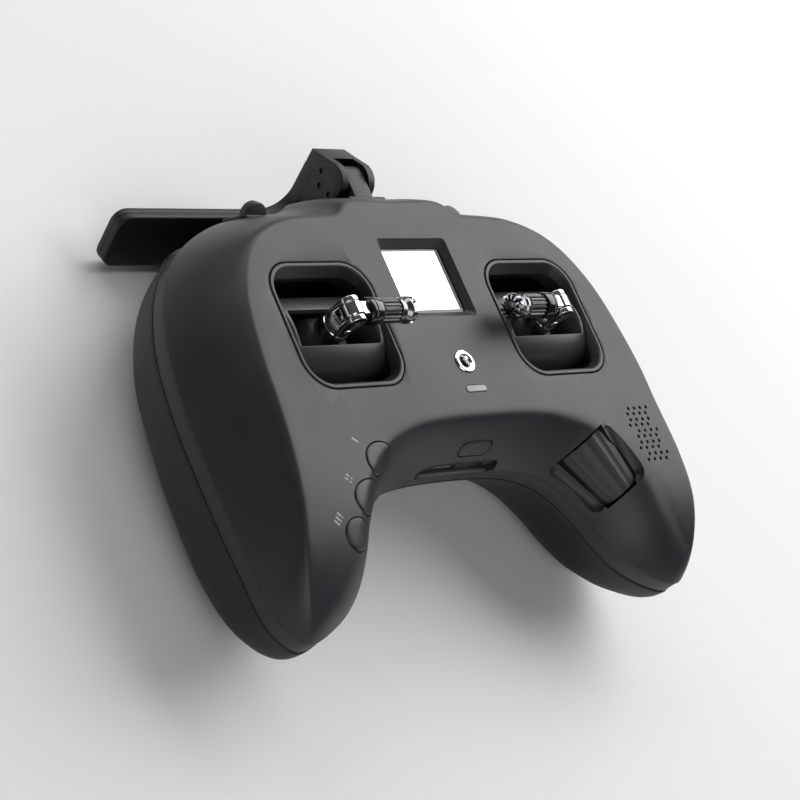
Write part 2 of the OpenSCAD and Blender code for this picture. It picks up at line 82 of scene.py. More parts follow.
def solid(name, verts, faces, xf=None):
    v = np.asarray(verts, float).reshape(-1, 3)
    faces = [list(f) for f in faces]
    if xf is not None:
        v = v @ xf[:3, :3].T + xf[:3, 3]
        if np.linalg.det(xf[:3, :3]) < 0:
            faces = [f[::-1] for f in faces]
    v = (v + [0, REST_Y, REST_Z]) * MM
    mesh = bpy.data.meshes.new(name)
    mesh.from_pydata(v.tolist(), [], faces)
    mesh.update()
    ob = bpy.data.objects.new(name, mesh)
    bpy.context.scene.collection.objects.link(ob)
    return ob


def raised(p, z):
    return np.column_stack([p, z])


def level(outline, z):
    """The outline as a flat ring at height z."""
    return raised(outline, np.full(len(outline), z))


def loft(name, rings, xf=None, ring_closed=False):
    """Skin over rings of equal length, each of 3-D points that run anticlockwise seen from the top."""
    n = len(rings[0])
    verts = np.concatenate([np.asarray(r, float) for r in rings])
    count = len(rings)
    faces = []
    for j in range(count if ring_closed else count - 1):
        a, b = j * n, ((j + 1) % count) * n
        for k in range(n):
            m = (k + 1) % n
            faces.append([a + k, a + m, b + m, b + k])
    if not ring_closed:
        faces.append(list(range(n))[::-1])
        faces.append([(count - 1) * n + k for k in range(n)])
    return solid(name, verts, faces, xf)


def circle(r, n=48):
    a = np.arange(n) * 2 * math.pi / n
    return np.stack([r * np.cos(a), r * np.sin(a)], 1)


def plate(w, h, r, n=7):
    pts = []
    for cx, cy, a0 in ((1, 1, 0), (-1, 1, 90), (-1, -1, 180), (1, -1, 270)):
        for i in range(n + 1):
            a = math.radians(a0 + 90 * i / n)
            pts.append((cx * (w / 2 - r) + r * math.cos(a), cy * (h / 2 - r) + r * math.sin(a)))
    return np.array(pts)


def tongue(r, low, centre, n):
    """A tongue with a round end of radius r about the height centre, as prism() lays it down."""
    pts = [(-r, low), (r, low)] + [(r * math.cos(a), centre + r * math.sin(a)) for a in np.linspace(0,
            math.pi, n)]
    return np.array([(x, -z) for x, z in pts])[::-1]


def inset(outline, d):
    """The outline moved in by d along its corner bisectors."""
    p = np.asarray(outline, float)
    before, after = p - np.roll(p, 1, 0), np.roll(p, -1, 0) - p
    n1 = np.stack([-before[:, 1], before[:, 0]], 1)
    n2 = np.stack([-after[:, 1], after[:, 0]], 1)
    n1 /= np.linalg.norm(n1, axis=1, keepdims=True) + 1e-12
    n2 /= np.linalg.norm(n2, axis=1, keepdims=True) + 1e-12
    b = n1 + n2
    b /= np.maximum(np.linalg.norm(b, axis=1, keepdims=True), 1e-9)
    c = np.maximum((b * n1).sum(1, keepdims=True), 0.4)
    return p + b * d / c


def round_levels(z0, z1, low, high, n=3):
    """Insets and heights of a wall from z0 to z1 with rounded edges of radius low and high."""
    out = []
    for i in range(n + 1 if low else 0):
        a = math.radians(90 * i / n)
        out.append((low * (1 - math.sin(a)), z0 + low * (1 - math.cos(a))))
    if not low:
        out.append((0, z0))
    if not high:
        out.append((0, z1))
    for i in range(n + 1 if high else 0):
        a = math.radians(90 * i / n)
        out.append((high * (1 - math.cos(a)), z1 - high * (1 - math.sin(a))))
    return out


def prism(name, outline, z0, z1, low=0.0, high=0.0, xf=None):
    return loft(name, [level(inset(outline, d), z) for d, z in round_levels(z0, z1, low, high)], xf)


def lathe(name, profile, xf=None, n=48, closed=False):
    """profile holds (radius, height) from the bottom up, or a closed loop for a ring."""
    rings = [level(circle(max(r, 0.001), n), z) for r, z in profile]
    return loft(name, rings, xf, ring_closed=closed)


def boolean(ob, cutters, operation="DIFFERENCE"):
    for c in cutters:
        mod = ob.modifiers.new("cut", "BOOLEAN")
        mod.operation = operation
        mod.solver = "MANIFOLD"
        mod.object = c
        bpy.context.view_layer.update()
        mesh = bpy.data.meshes.new_from_object(ob.evaluated_get(bpy.context.evaluated_depsgraph_get()))
        ob.modifiers.clear()
        ob.data = mesh
    for c in cutters:
        bpy.data.objects.remove(c)
    return ob


def joined(name, obs):
    """Several separate meshes as one object."""
    verts, faces, base = [], [], 0
    for o in obs:
        verts += [v.co[:] for v in o.data.vertices]
        faces += [[base + i for i in p.vertices] for p in o.data.polygons]
        base += len(o.data.vertices)
        bpy.data.objects.remove(o)
    mesh = bpy.data.meshes.new(name)
    mesh.from_pydata(verts, [], faces)
    ob = bpy.data.objects.new(name, mesh)
    bpy.context.scene.collection.objects.link(ob)
    return ob


def finish_piece(ob, material, body, *nodes, angle=32):
    ob.data.materials.clear()
    ob.data.materials.append(material)
    ob.data.shade_smooth()
    ob.data.set_sharp_from_angle(angle=math.radians(angle))
    if nodes:
        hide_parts(*nodes)
    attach(ob, body)
    return ob


# ---------------------------------------------------------------- materials


def new_material(name):
    m = bpy.data.materials.new(name)
    m.use_nodes = True
    nt = m.node_tree
    return m, nt, nt.nodes["Principled BSDF"]


def noise(nt, coords, scale, detail=3, rough=0.5):
    n = nt.nodes.new("ShaderNodeTexNoise")
    n.inputs["Scale"].default_value = scale
    n.inputs["Detail"].default_value = detail
    n.inputs["Roughness"].default_value = rough
    nt.links.new(coords.outputs["Object"], n.inputs["Vector"])
    return n


def spread(nt, value, low, high, from_low=0.3, from_high=0.7):
    r = nt.nodes.new("ShaderNodeMapRange")
    r.inputs["From Min"].default_value = from_low
    r.inputs["From Max"].default_value = from_high
    r.inputs["To Min"].default_value = low
    r.inputs["To Max"].default_value = high
    nt.links.new(value, r.inputs["Value"])
    return r.outputs["Result"]


def two_tone(nt, value, dark, light):
    ramp = nt.nodes.new("ShaderNodeValToRGB")
    ramp.color_ramp.elements[0].position = 0.3
    ramp.color_ramp.elements[1].position = 0.7
    ramp.color_ramp.elements[0].color = (*dark, 1)
    ramp.color_ramp.elements[1].color = (*light, 1)
    nt.links.new(value, ramp.inputs["Fac"])
    return ramp.outputs["Color"]


def relief(nt, bsdf, height, strength, distance):
    bump = nt.nodes.new("ShaderNodeBump")
    bump.inputs["Strength"].default_value = strength
    bump.inputs["Distance"].default_value = distance
    nt.links.new(height, bump.inputs["Height"])
    nt.links.new(bump.outputs["Normal"], bsdf.inputs["Normal"])


def moulded(name, colour, rough, grain=0.12, variation=0.07, coat=0.0):
    """Moulded plastic: fine spark-eroded grain, faint mottling and uneven sheen."""
    m, nt, bsdf = new_material(name)
    coords = nt.nodes.new("ShaderNodeTexCoord")
    broad = noise(nt, coords, 55, 4, 0.6)
    fine = noise(nt, coords, 2600, 2, 0.6)
    c = np.array(colour)
    mottled = two_tone(nt, broad.outputs["Fac"], c * (1 - variation), c * (1 + variation))
    nt.links.new(mottled, bsdf.inputs["Base Color"])
    nt.links.new(spread(nt, broad.outputs["Fac"], rough - 0.03, rough + 0.04), bsdf.inputs["Roughness"])
    relief(nt, bsdf, fine.outputs["Fac"], grain, 0.00006)
    if coat:
        bsdf.inputs["Coat Weight"].default_value = coat
        bsdf.inputs["Coat Roughness"].default_value = 0.2
    return m


def metal(name, colour, rough, grain=0.05, scale=900, stretch=(1, 1, 1)):
    """Metal with faint handling haze and fine tool marks."""
    m, nt, bsdf = new_material(name)
    bsdf.inputs["Metallic"].default_value = 1.0
    coords = nt.nodes.new("ShaderNodeTexCoord")
    mapping = nt.nodes.new("ShaderNodeMapping")
    mapping.inputs["Scale"].default_value = stretch
    nt.links.new(coords.outputs["Object"], mapping.inputs["Vector"])
    haze = noise(nt, coords, 400, 3, 0.6)
    marks = nt.nodes.new("ShaderNodeTexNoise")
    marks.inputs["Scale"].default_value = scale
    marks.inputs["Detail"].default_value = 3
    nt.links.new(mapping.outputs["Vector"], marks.inputs["Vector"])
    c = np.array(colour)
    hazed = two_tone(nt, haze.outputs["Fac"], c * 0.92, np.minimum(c * 1.05, 1))
    nt.links.new(hazed, bsdf.inputs["Base Color"])
    nt.links.new(spread(nt, haze.outputs["Fac"], rough * 0.8, rough * 1.3), bsdf.inputs["Roughness"])
    relief(nt, bsdf, marks.outputs["Fac"], grain, 0.00004)
    return m


def circuit(name, colour):
    """Solder-masked board with faint copper tracks under the mask."""
    m, nt, bsdf = new_material(name)
    coords = nt.nodes.new("ShaderNodeTexCoord")
    brick = nt.nodes.new("ShaderNodeTexBrick")
    brick.inputs["Scale"].default_value = 260
    brick.inputs["Mortar Size"].default_value = 0.03
    c = np.array(colour)
    brick.inputs["Color1"].default_value = (*c, 1)
    brick.inputs["Color2"].default_value = (*(c * 0.85), 1)
    brick.inputs["Mortar"].default_value = (*np.minimum(c * 1.9, 1), 1)
    nt.links.new(coords.outputs["Object"], brick.inputs["Vector"])
    nt.links.new(brick.outputs["Color"], bsdf.inputs["Base Color"])
    bsdf.inputs["Roughness"].default_value = 0.35
    return m


def screen_glow(name):
    """Pale reflective panel with faint broad mottling, lit from behind."""
    m, nt, bsdf = new_material(name)
    coords = nt.nodes.new("ShaderNodeTexCoord")
    broad = noise(nt, coords, 30, 2)
    colour = two_tone(nt, broad.outputs["Fac"], (0.86, 0.88, 0.9), (0.93, 0.94, 0.95))
    nt.links.new(colour, bsdf.inputs["Base Color"])
    nt.links.new(colour, bsdf.inputs["Emission Color"])
    bsdf.inputs["Emission Strength"].default_value = 1.6
    bsdf.inputs["Roughness"].default_value = 0.3
    return m


def clear(name):
    """Thin clear window with a faint smear of handling."""
    m, nt, bsdf = new_material(name)
    coords = nt.nodes.new("ShaderNodeTexCoord")
    smear = noise(nt, coords, 120, 4)
    bsdf.inputs["Base Color"].default_value = (0.97, 0.98, 0.98, 1)
    bsdf.inputs["Transmission Weight"].default_value = 1.0
    bsdf.inputs["IOR"].default_value = 1.3
    nt.links.new(spread(nt, smear.outputs["Fac"], 0.0, 0.05), bsdf.inputs["Roughness"])
    return m


SHELL = moulded("shell_plastic", (0.0225, 0.0238, 0.0285), 0.44, grain=0.16)
BAND = moulded("band_plastic", (0.02, 0.0205, 0.023), 0.5)
BACK = moulded("back_plastic", (0.008, 0.0083, 0.0092), 0.56, grain=0.16)
DARK = moulded("inner_plastic", (0.006, 0.006, 0.0065), 0.5)
GREY = moulded("bezel_plastic", (0.035, 0.0355, 0.038), 0.4, grain=0.06)
DRUM = moulded("drum_plastic", (0.04, 0.041, 0.045), 0.36, grain=0.06)
KEY = moulded("key_plastic", (0.022, 0.0226, 0.0262), 0.42)
BLACK = moulded("gloss_black", (0.006, 0.006, 0.007), 0.16, grain=0.02, coat=0.6)
RIDGE = moulded("roller_plastic", (0.03, 0.031, 0.034), 0.46, grain=0.08)
ANTENNA = moulded("antenna_plastic", (0.007, 0.0075, 0.009), 0.46, grain=0.1)
# a darker copy of the antenna plastic: painted shade for the bar's inner half, which faces the case
ANTENNA_SHADED = moulded("antenna_painted_shade_plastic", (0.003, 0.003, 0.0035), 0.5, grain=0.1)
MARK = moulded("printed_mark", (0.4, 0.4, 0.41), 0.5, grain=0.05)
FROST = moulded("frosted_light", (0.36, 0.36, 0.38), 0.35, grain=0.05)
PACK = moulded("cell_wrap", (0.05, 0.12, 0.35), 0.35)
CONE = moulded("speaker_cone", (0.012, 0.012, 0.0125), 0.6)
CHROME = metal("bright_plating", (0.93, 0.93, 0.94), 0.13, grain=0.03)
PLATED = metal("dark_plating", (0.32, 0.32, 0.33), 0.22, grain=0.04)
STEEL = metal("turned_steel", (0.45, 0.45, 0.46), 0.28, scale=1600, stretch=(1, 1, 8))
KNURL = metal("knurled_metal", (0.11, 0.11, 0.115), 0.36)
TIN = metal("tinned_can", (0.55, 0.55, 0.56), 0.32)
COPPER = metal("copper_strip", (0.75, 0.42, 0.25), 0.3)
BOARD = circuit("board_mask", (0.02, 0.14, 0.055))
PANEL = screen_glow("screen_panel")
LENS = clear("screen_window")

# ---------------------------------------------------------------- the case

SPAN = 10
STEPS = 8
OUT = [(0, 47), (18, 47), (27, 43.5), (50, 40), (69, 29), (80, 10), (84, -13), (83.5, -37), (81.5, -55),
       (79, -68), (72, -75.5), (61, -72.5), (52, -66.5), (46.5, -59.5), (42.5, -52), (37, -45), (30, -40),
       (22, -37.5), (14, -36.6), (7, -36.3), (0, -36.2)]
EDGE = [(0, 36.7), (17, 36.7), (24.5, 32.5), (43, 31), (57, 24.5), (66, 11), (70, -8), (71.5, -28),
        (73.5, -44), (75, -57), (73, -68), (66, -63), (61, -57), (58, -52), (54, -46), (48, -39),
        (40, -33.5),
        (30, -30), (21, -28.6), (10, -28), (0, -28)]
MID = [(0, 3), (10, 3), (20, 3), (34, 2), (46, 0), (55, -8), (60, -20), (64, -32), (66, -43), (67, -53),
       (68, -61)]
SOFT = [0, 0, 0, 0, 0, 0, 0, 0, 0, .1, .5, 1, 1, 1, 1, .8, .5, .3, .2, .2, .2]
FRONT_H, BAND_H, CASE_H, WALL = 18.0, 5.0, 48.0, 2.0
GROOVE = .28
HIP_REACH, HIP_SHARE = 20, .75   # the rear flank's run towards the middle: a limit and a share
INSIDE_CAD = .14   # keeps the smoother curve inside the coarser CAD outline


def spline(points, t):
    p = np.asarray(points, float)
    n = len(p)
    i = min(int(t), n - 2)
    u = t - i
    b, c = p[i], p[i + 1]
    a = p[i - 1] if i > 0 else 2 * p[0] - p[1]
    d = p[i + 2] if i + 2 < n else 2 * p[-1] - p[-2]
    square, cube = 2 * a - 5 * b + 4 * c - d, 3 * b - a - 3 * c + d
    return 0.5 * (2 * b + (c - a) * u + square * u * u + cube * u ** 3)


HALF = 2 * SPAN * STEPS
COUNT = 2 * HALF
_side = np.array([1 if k <= HALF else -1 for k in range(COUNT)])
_at = np.array([(k if k <= HALF else COUNT - k) / STEPS for k in range(COUNT)])


def around(points):
    p = np.array([spline(points, t) for t in _at])
    p[:, 0] *= _side
    return p


A_LINE, E_LINE = around(OUT), around(EDGE)
Q_LINE = np.array([spline(MID, t if t <= SPAN else 2 * SPAN - t) for t in _at])
Q_LINE[:, 0] *= _side
SOFTNESS = np.interp(_at, range(2 * SPAN + 1), SOFT)
LEAN = np.interp(_at, [0, 10, 12.5, 15, 17.5, 20], [0, 0, 0, .25, .45, .5])


def units(v):
    return v / np.maximum(np.linalg.norm(v, axis=1, keepdims=True), 1e-9)


def face_z(y):
    return -0.06 * np.maximum(0, -18 - y) - 8 * (np.maximum(0, -30 - y) / 36) ** 3


def band_z(y):
    return -FRONT_H - 3 * (np.maximum(0, -15 - y) / 62) ** 2


def back_z(y):
    return -CASE_H + 20 * (np.maximum(0, -38 - y) / 40) ** 2


def curve(a, b, c, u):
    return (1 - u) ** 2 * a + 2 * u * (1 - u) * b + u * u * c


A_IN, E_IN = units(Q_LINE - A_LINE), units(Q_LINE - E_LINE)
A_LINE = A_LINE + INSIDE_CAD * A_IN


def flank(u, t=0.0, drop=0.0):
    a, e = A_LINE + t * A_IN, E_LINE + t * E_IN
    z0, z1 = band_z(A_LINE[:, 1]), face_z(E_LINE[:, 1]) - t
    kx, kz = (.38 - .03 * SOFTNESS)[:, None], .58 + .2 * SOFTNESS
    ring = curve(raised(a, z0), raised(a + kx * (e - a), z0 + kz * (z1 - z0)), raised(e, z1), u)
    ring[:, 2] -= drop
    return ring


def on_face(d, t=0.0, share=None):
    """Ring on the face, d mm in from its edge, or at a share of the way to the middle line."""
    reach = np.linalg.norm(Q_LINE - E_LINE, axis=1)
    d = np.minimum(d, 0.45 * reach) if share is None else share * reach
    p = E_LINE + d[:, None] * E_IN
    return raised(p, face_z(p[:, 1]) - t)


def hip(u, t=0.0, rise=0.0):
    reach = np.linalg.norm(Q_LINE - A_LINE, axis=1, keepdims=True)
    r = A_LINE + A_IN * np.minimum(HIP_REACH, HIP_SHARE * reach)
    a, e = A_LINE + t * A_IN, r + t * A_IN * .5
    z0, z1 = band_z(A_LINE[:, 1]) - BAND_H, back_z(r[:, 1]) + t
    ring = curve(raised(a, z0), raised(a + (.04 + LEAN)[:, None] * (e - a), z0 + .8 * (z1 - z0)),
                 raised(e, z1), u)
    ring[:, 2] += rise
    return ring


def on_back(share, t=0.0):
    reach = np.linalg.norm(Q_LINE - A_LINE, axis=1, keepdims=True)
    r = A_LINE + A_IN * np.minimum(HIP_REACH, HIP_SHARE * reach)
    p = r + share * (Q_LINE - r)
    return raised(p, back_z(p[:, 1]) + t)


def sided_skin(name, rings):
    """Skin over the case's rings, each end closed by strips across the middle line."""
    n, verts, faces = COUNT, np.concatenate(rings), []
    for j in range(len(rings) - 1):
        for k in range(n):
            m = (k + 1) % n
            faces.append([j * n + k, j * n + m, (j + 1) * n + m, (j + 1) * n + k][::-1])
    for j, flip in ((0, True), (len(rings) - 1, False)):
        for h in (0, HALF):
            for i in range(HALF // 2):
                k, m = h + i, h + HALF - i
                f = [k, k + 1, m - 1, m % n] if k + 1 != m - 1 else [k, k + 1, m % n]
                f = [j * n + (x % n) for x in f]
                faces.append(f if flip else f[::-1])
    return solid(name, verts, faces)


FLANK_STEPS = (.04, .08, .14, .21, .28, .36, .44, .52, .6, .68, .75, .81, .86)


def tucked(ring):
    """A ring moved in, for the shallow groove at the band."""
    ring[:, :2] += A_IN * GROOVE
    return ring


def front_rings():
    rings = [tucked(flank(0)), flank(.016)] + [flank(u) for u in FLANK_STEPS]
    reach = 1.3 + 4.5 * SOFTNESS   # how far the rounded edge runs on to the face
    p0, p1, p2 = flank(.9), flank(1), on_face(reach)
    rings += [curve(p0, p1, p2, u) for u in (0, .2, .4, .6, .8, 1)]
    inner = np.linalg.norm(Q_LINE - E_LINE, axis=1)
    start = np.minimum(reach, .45 * inner) / inner
    return rings + [on_face(None, 0, start + (.97 - start) * f) for f in (.25, .5, .75, 1)]


def cavity_front():
    rings = [flank(0, WALL, 2)] + [flank(u, WALL) for u in (0, .12, .25, .4, .55, .7, .85, 1)]
    return rings + [on_face(None, WALL, .35), on_face(None, WALL, .8)]


def rear_rings():
    rings = [on_back(s) for s in (.97, .7, .4, .15)]
    rings += [hip(u) for u in (1, .93, .86, .79, .72, .65, .58, .5, .42, .34, .26, .18, .1, .04, .015)]
    return rings + [tucked(hip(0))]


def cavity_rear():
    return [on_back(.5, WALL)] + [hip(u, WALL) for u in (1, .8, .6, .4, .2, 0)] + [hip(0, WALL, 2)]


# Places and sizes, in the working frame
# keys: place, yaw, tilt of the frame, then the oval's half axes, its turn and its shift in that frame
PAGE = ((-44.1, -36.5, -1.7), 31.5, 25, 5.8, 4.2, -27, (1.0, -1.3))
MENU = ((-51.2, -45.6, -3.3), 41, 29, 6.6, 4.4, -38, (.8, -1.6))
EXIT = ((-56.8, -54.7, -5.4), 33, 29.7, 5.1, 4.1, -45, (.1, -.4))
POWER = ((1.5, -33.3, -10), 0, 66.9)
TOGGLE, TOGGLE_TILT, TOGGLE_REST = (40, 40.2, -14.5), -66, 24
SHOULDER = (54, 37.2, -32)
SPEAKER = (62.2, -37.3)
EYELET, LIGHT = (0, -12.6), (0, -20.6)
SCREWS = ((66, 8), (66, -50), (17, -19))
DOOR = (0, 6)
DOOR_SCREW_X = 27.6
PIVOT = (0, 51, -13)
ROLL_AXIS = np.array([.4781, -.8776, -.0366])
ROLL_OUT = np.array([-.6804, -.3962, .616])
ROLL_AT = np.array([43.9, -44.3, -7.5])
ROLL_SINK, ROLL_LEN, ROLL_BIG, ROLL_SMALL = 7.5, 18.0, 9.8, 6.6
SCOOPS = (((10.2, 8.6, -6.5), (7.6, 6.0, 6.5)), ((-9.6, 10.6, -6.5), (-7.2, 7.7, 6.5)))
SCREEN_AT, SCREEN_HOLE, SCREEN_FLARE = (0, 13.1), (22.6, 19.8), (3.4, 4)
SCREEN = (-.2, 13.4)   # middle of the panel's visible part
PORT_Y, PORT_FAR, PORT_SLOT = -34.5, -40, (31, 5.2, 2.4)
PORT = (-1, -16.9)
GIMBAL_HOLE = (35.8, 36.5, 8.7)
HOLE_R, HOLE_PITCH, ROW_PITCH = .55, 2.6, 3.4
KEY_GAP = .3
WINDOW_SMALL, WINDOW_BIG, SCOOP_R = 5.3, 8.0, 3.4
SHANK_R, HEAD_R, BOSS_R, SEAT_Z = 1.7, 3.1, 4.4, -41
GIMBAL_X, DRUM_R, DRUM_Z, FOLD_Z = 40.0, 14.0, -14.5, 6.0
BAR_HALF, BAR_W, BAR_T, ARM_TILT = 65.4, 16.2, 4.4, 21


def roller_frame():
    axis, out = ROLL_AXIS / np.linalg.norm(ROLL_AXIS), ROLL_OUT / np.linalg.norm(ROLL_OUT)
    m = np.eye(4)
    m[:3, 0], m[:3, 1], m[:3, 2] = np.cross(out, axis), out, axis
    m[:3, 3] = ROLL_AT - out * ROLL_SINK
    return m


def toggle_frame(s):
    return shift(s * TOGGLE[0], TOGGLE[1], TOGGLE[2]) @ turn("X", TOGGLE_TILT)


def shoulder_frame(s):
    return mirrored(s) @ shift(*SHOULDER) @ turn("Z", -18) @ turn("X", -104)


def arm_frame():
    return shift(0, 62, -13.4) @ turn("X", ARM_TILT - 132)


ALONG_X, ALONG_Y = turn("Y", 90), turn("X", -90)


def key_outline(b, grow=0.0):
    a, c, sn = np.arange(40) * math.pi / 20, math.cos(math.radians(b[5])), math.sin(math.radians(b[5]))
    x, y = (b[3] + grow) * np.cos(a), (b[4] + grow) * np.sin(a)
    return np.column_stack([x * c - y * sn + b[6][0], x * sn + y * c + b[6][1]])


KEYS = (("page", PAGE), ("menu", MENU), ("exit", EXIT))


def slab(x0, x1, y0, y1):
    return [(x0, y0), (x1, y0), (x1, y1), (x0, y1)]


def port_slot():
    at = shift(PORT[0], PORT_FAR, PORT[1]) @ ALONG_Y
    return prism("c", plate(*PORT_SLOT), 0, 8, xf=at)


def toggle_holes():
    return [prism("c", plate(11.6, 10, 2), -9, 3, xf=toggle_frame(s)) for _, s in SIDES]


def hinge_recess():
    return prism("c", circle(7.7, 64), -7, 7, xf=shift(*PIVOT) @ ALONG_X)


def speaker_holes():
    """Staggered rows of oblong slots, each of two round holes run together."""
    holes = []
    for row in range(-2, 3):
        for col in range(-2, 2):
            x = SPEAKER[0] + col * HOLE_PITCH - row * .5 + (HOLE_PITCH / 2 if row % 2 == 0 else 0)
            y = SPEAKER[1] + row * ROW_PITCH
            for d in (-1, 1):
                at = shift(x + d * HOLE_R, y + d * .8, 0)
                holes.append(prism("h", circle(HOLE_R, 14), -12, 2, xf=at))
    return joined("c", holes)


def screen_mouth():
    hole = plate(*SCREEN_HOLE, 1, 5)
    mouth = hole * [1 + more / size for more, size in zip(SCREEN_FLARE, SCREEN_HOLE)]
    rings = [level(hole, -6), level(hole, -1.75), level(mouth, -.12)]
    rings += [level(mouth * 1.012, z) for z in (.02, 2.0)]
    return loft("c", rings, shift(*SCREEN_AT, 0))


def roller_window():
    """A tapered window, room for the cone behind it and a finger scoop at each side."""
    h, at = ROLL_LEN / 2 + .7, roller_frame()
    window = [(-WINDOW_SMALL, -h), (WINDOW_SMALL, -h), (WINDOW_BIG, h), (-WINDOW_BIG, h)]
    cone = [(0, -h), (ROLL_BIG + .3, -h), (ROLL_SMALL + .3, h), (0, h)]
    cut = [prism("c", window, 1, 12, xf=at @ turn("X", -90)), lathe("c", cone, at, 64)]
    return cut + [capsule("c", *ends, SCOOP_R, at) for ends in SCOOPS]


def front_cutters():
    hole = plate(*GIMBAL_HOLE, 10)
    soft_edge = ((0, -10), (0, -.35), (-.12, -.14), (-.4, .02), (-.4, 2))
    softened = [level(inset(hole, d), z) for d, z in soft_edge]
    cut = [loft("c", softened, shift(s * GIMBAL_X, 0, 0)) for _, s in SIDES]
    cut.append(screen_mouth())
    cut.append(lathe("c", [(3, -6), (3, -.25), (3.25, .02), (3.25, 2)], shift(*EYELET, 0)))
    cut.append(prism("c", plate(8, 2.2, 1, 5), -6, 2, xf=shift(*LIGHT, -.05)))
    cut += [prism("c", key_outline(b, KEY_GAP), -7, 3, xf=on(*b[:3])) for _, b in KEYS]
    cut.append(prism("c", plate(12.6, 5.4, 2.5), -5, 3, xf=on(*POWER)))
    cut += [speaker_holes(), port_slot()]
    cut += roller_window()
    cut += toggle_holes()
    cut.append(prism("c", slab(-7.4, 7.4, 36, 46), -17, -7.4))
    cut.append(hinge_recess())
    return cut


def capsule(name, low, high, r, xf):
    """A rod with round ends between two points."""
    low, high = np.array(low, float), np.array(high, float)
    d = high - low
    to = np.eye(4)
    to[:3, :3] = np.array(Vector(d).to_track_quat("Z", "Y").to_matrix())
    to[:3, 3] = low
    length, a = np.linalg.norm(d), np.linspace(0, math.pi / 2, 9)
    profile = [(r * math.sin(t), -r * math.cos(t)) for t in a]
    profile += [(r * math.cos(t), length + r * math.sin(t)) for t in a]
    return lathe(name, profile, xf @ to, 40)


front = sided_skin("front_shell_skin", front_rings())
surface = BVHTree.FromPolygons([v.co[:] for v in front.data.vertices],
                               [p.vertices[:] for p in front.data.polygons])


def heights(points, xf, top=4.0):
    """How high the uncut face lies over each point of a frame's XY plane."""
    down = Vector(-xf[:3, 2])
    out = []
    for x, y in points:
        origin = ((xf @ (x, y, top, 1))[:3] + [0, REST_Y, REST_Z]) * MM
        out.append(top - surface.ray_cast(Vector(origin), down)[3] / MM)
    return np.array(out)


def flush_cap(name, outline, xf, deep, proud, edge):
    """A cap whose top follows the face, proud of it, with a rounded edge."""
    rings = [level(outline, -deep)]
    for d, lift in ((0, -edge), (.15, -.4), (.5, -.1), (1, 0)):
        o = inset(outline, d * edge)
        rings.append(raised(o, heights(o, xf) + proud + (lift if d == 0 else lift * edge)))
    centre = outline.mean(0)
    for f in (.75, .5, .25):
        o = centre + (inset(outline, edge) - centre) * f
        rings.append(raised(o, heights(o, xf) + proud))
    return loft(name, rings, xf)


boolean(front, [sided_skin("cavity", cavity_front())] + front_cutters())
finish_piece(front, SHELL, "case", "front_shell")

ring = []
PROFILE = ((.3, .35), (.38, .16), (.6, .06), (2, .06))   # how far in and how far from the band's edge
for d, z in [(d, -gap) for d, gap in PROFILE] + [(d, gap - BAND_H) for d, gap in PROFILE[::-1]]:
    ring.append(raised(A_LINE + A_IN * d, band_z(A_LINE[:, 1]) + z))
band = loft("mid_band_ring", ring, ring_closed=True)
boolean(band, [port_slot(), hinge_recess()] + toggle_holes())
finish_piece(band, BAND, "case", "mid_band")

rear = sided_skin("rear_shell_skin", rear_rings())
cut = [sided_skin("cavity", cavity_rear())]
for w, h, r, deep in ((60.4, 38.4, 4, 1.6), (50, 32, 3, 4)):   # the door's seat and the opening inside it
    cut.append(prism("c", plate(w, h, r), -CASE_H - 1, -CASE_H + deep, xf=shift(*DOOR, 0)))
SCREW_PLACES = [(s * x, y) for x, y in SCREWS for _, s in SIDES]
for x, y in SCREW_PLACES:
    bore = [(HEAD_R + .2, -60), (HEAD_R + .2, back_z(y) - .05), (HEAD_R, back_z(y) + .2), (HEAD_R, SEAT_Z)]
    cut.append(lathe("c", bore + [(SHANK_R, SEAT_Z + .1), (SHANK_R, -20)], shift(x, y, 0)))
for _, s in SIDES:
    cut.append(prism("c", circle(5.3), -9, 6, xf=shoulder_frame(s)))
boolean(rear, cut)
BOSS = [(BOSS_R, -44), (BOSS_R, -25.5), (SHANK_R, -25.5), (SHANK_R, SEAT_Z), (HEAD_R, SEAT_Z),
        (HEAD_R, -44)]
bosses = [lathe("boss", BOSS, shift(x, y, 0), closed=True) for x, y in SCREW_PLACES]
finish_piece(rear, BACK, "case", "rear_shell")
for i, b in enumerate(bosses):
    finish_piece(b, BACK, "case")
    b.name = f"screw_boss_{i + 1}"

door = prism("rear_door_plate", plate(60, 38, 3.8), -CASE_H, -CASE_H + 1.5, low=.3, xf=shift(*DOOR, 0))
bore = [(2.2, -1), (2.2, -.02), (2, .15), (2, .8), (1.15, .81), (1.15, 3)]
cut = [lathe("c", bore, shift(DOOR[0] + s * DOOR_SCREW_X, DOOR[1], -CASE_H)) for _, s in SIDES]
for i in range(-3, 4):   # grip grooves
    cut.append(prism("c", plate(1.6, 7, .7), -1, .5, xf=shift(DOOR[0] + 4 * i, DOOR[1] - 13, -CASE_H)))
boolean(door, cut)
finish_piece(door, BACK, "case", "rear_door")

# ---------------------------------------------------------------- screen, eyelet, light, keys, ports

